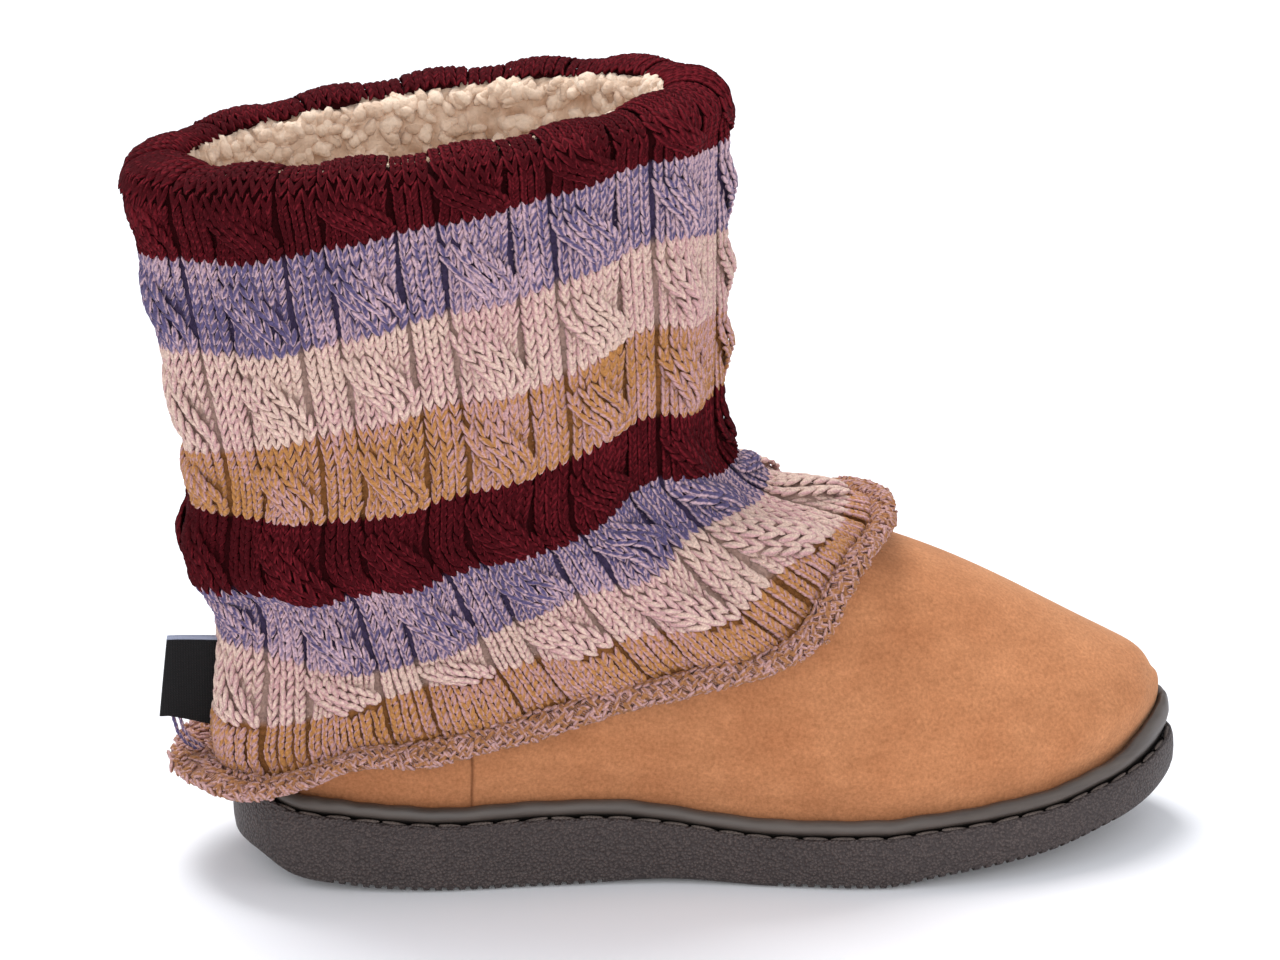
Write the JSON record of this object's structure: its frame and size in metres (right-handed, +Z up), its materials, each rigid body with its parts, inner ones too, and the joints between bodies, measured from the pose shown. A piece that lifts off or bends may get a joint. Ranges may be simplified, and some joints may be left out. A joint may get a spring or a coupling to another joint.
{
  "type": "boot slipper",
  "caption": "Ankle boot slipper: suede foot on a moulded sole, fleece lining and a striped cable-knit sleeve turned over the collar.",
  "frame": {"origin": "on the floor, under the middle of the bounding box", "axes": "+X from heel to toe, +Y to the inner side of the foot, +Z up"},
  "size_m": [0.2992, 0.105, 0.2261],
  "materials": {
    "sole_rubber": "pebbled matt",
    "welt_rubber": "smooth satin",
    "suede": "brushed nap",
    "fleece": "curly pile",
    "knit": "cable knit in marled stripes",
    "edging": "overlocked yarn",
    "tape": "woven tape"
  },
  "bodies": {
    "root": {"outsole": "sole_rubber", "welt": "welt_rubber", "insole": "fleece", "upper": "suede", "lining": "fleece", "knit_shaft": "knit", "hem_edging": "edging", "heel_tag": "tape"}
  },
  "joints": []
}
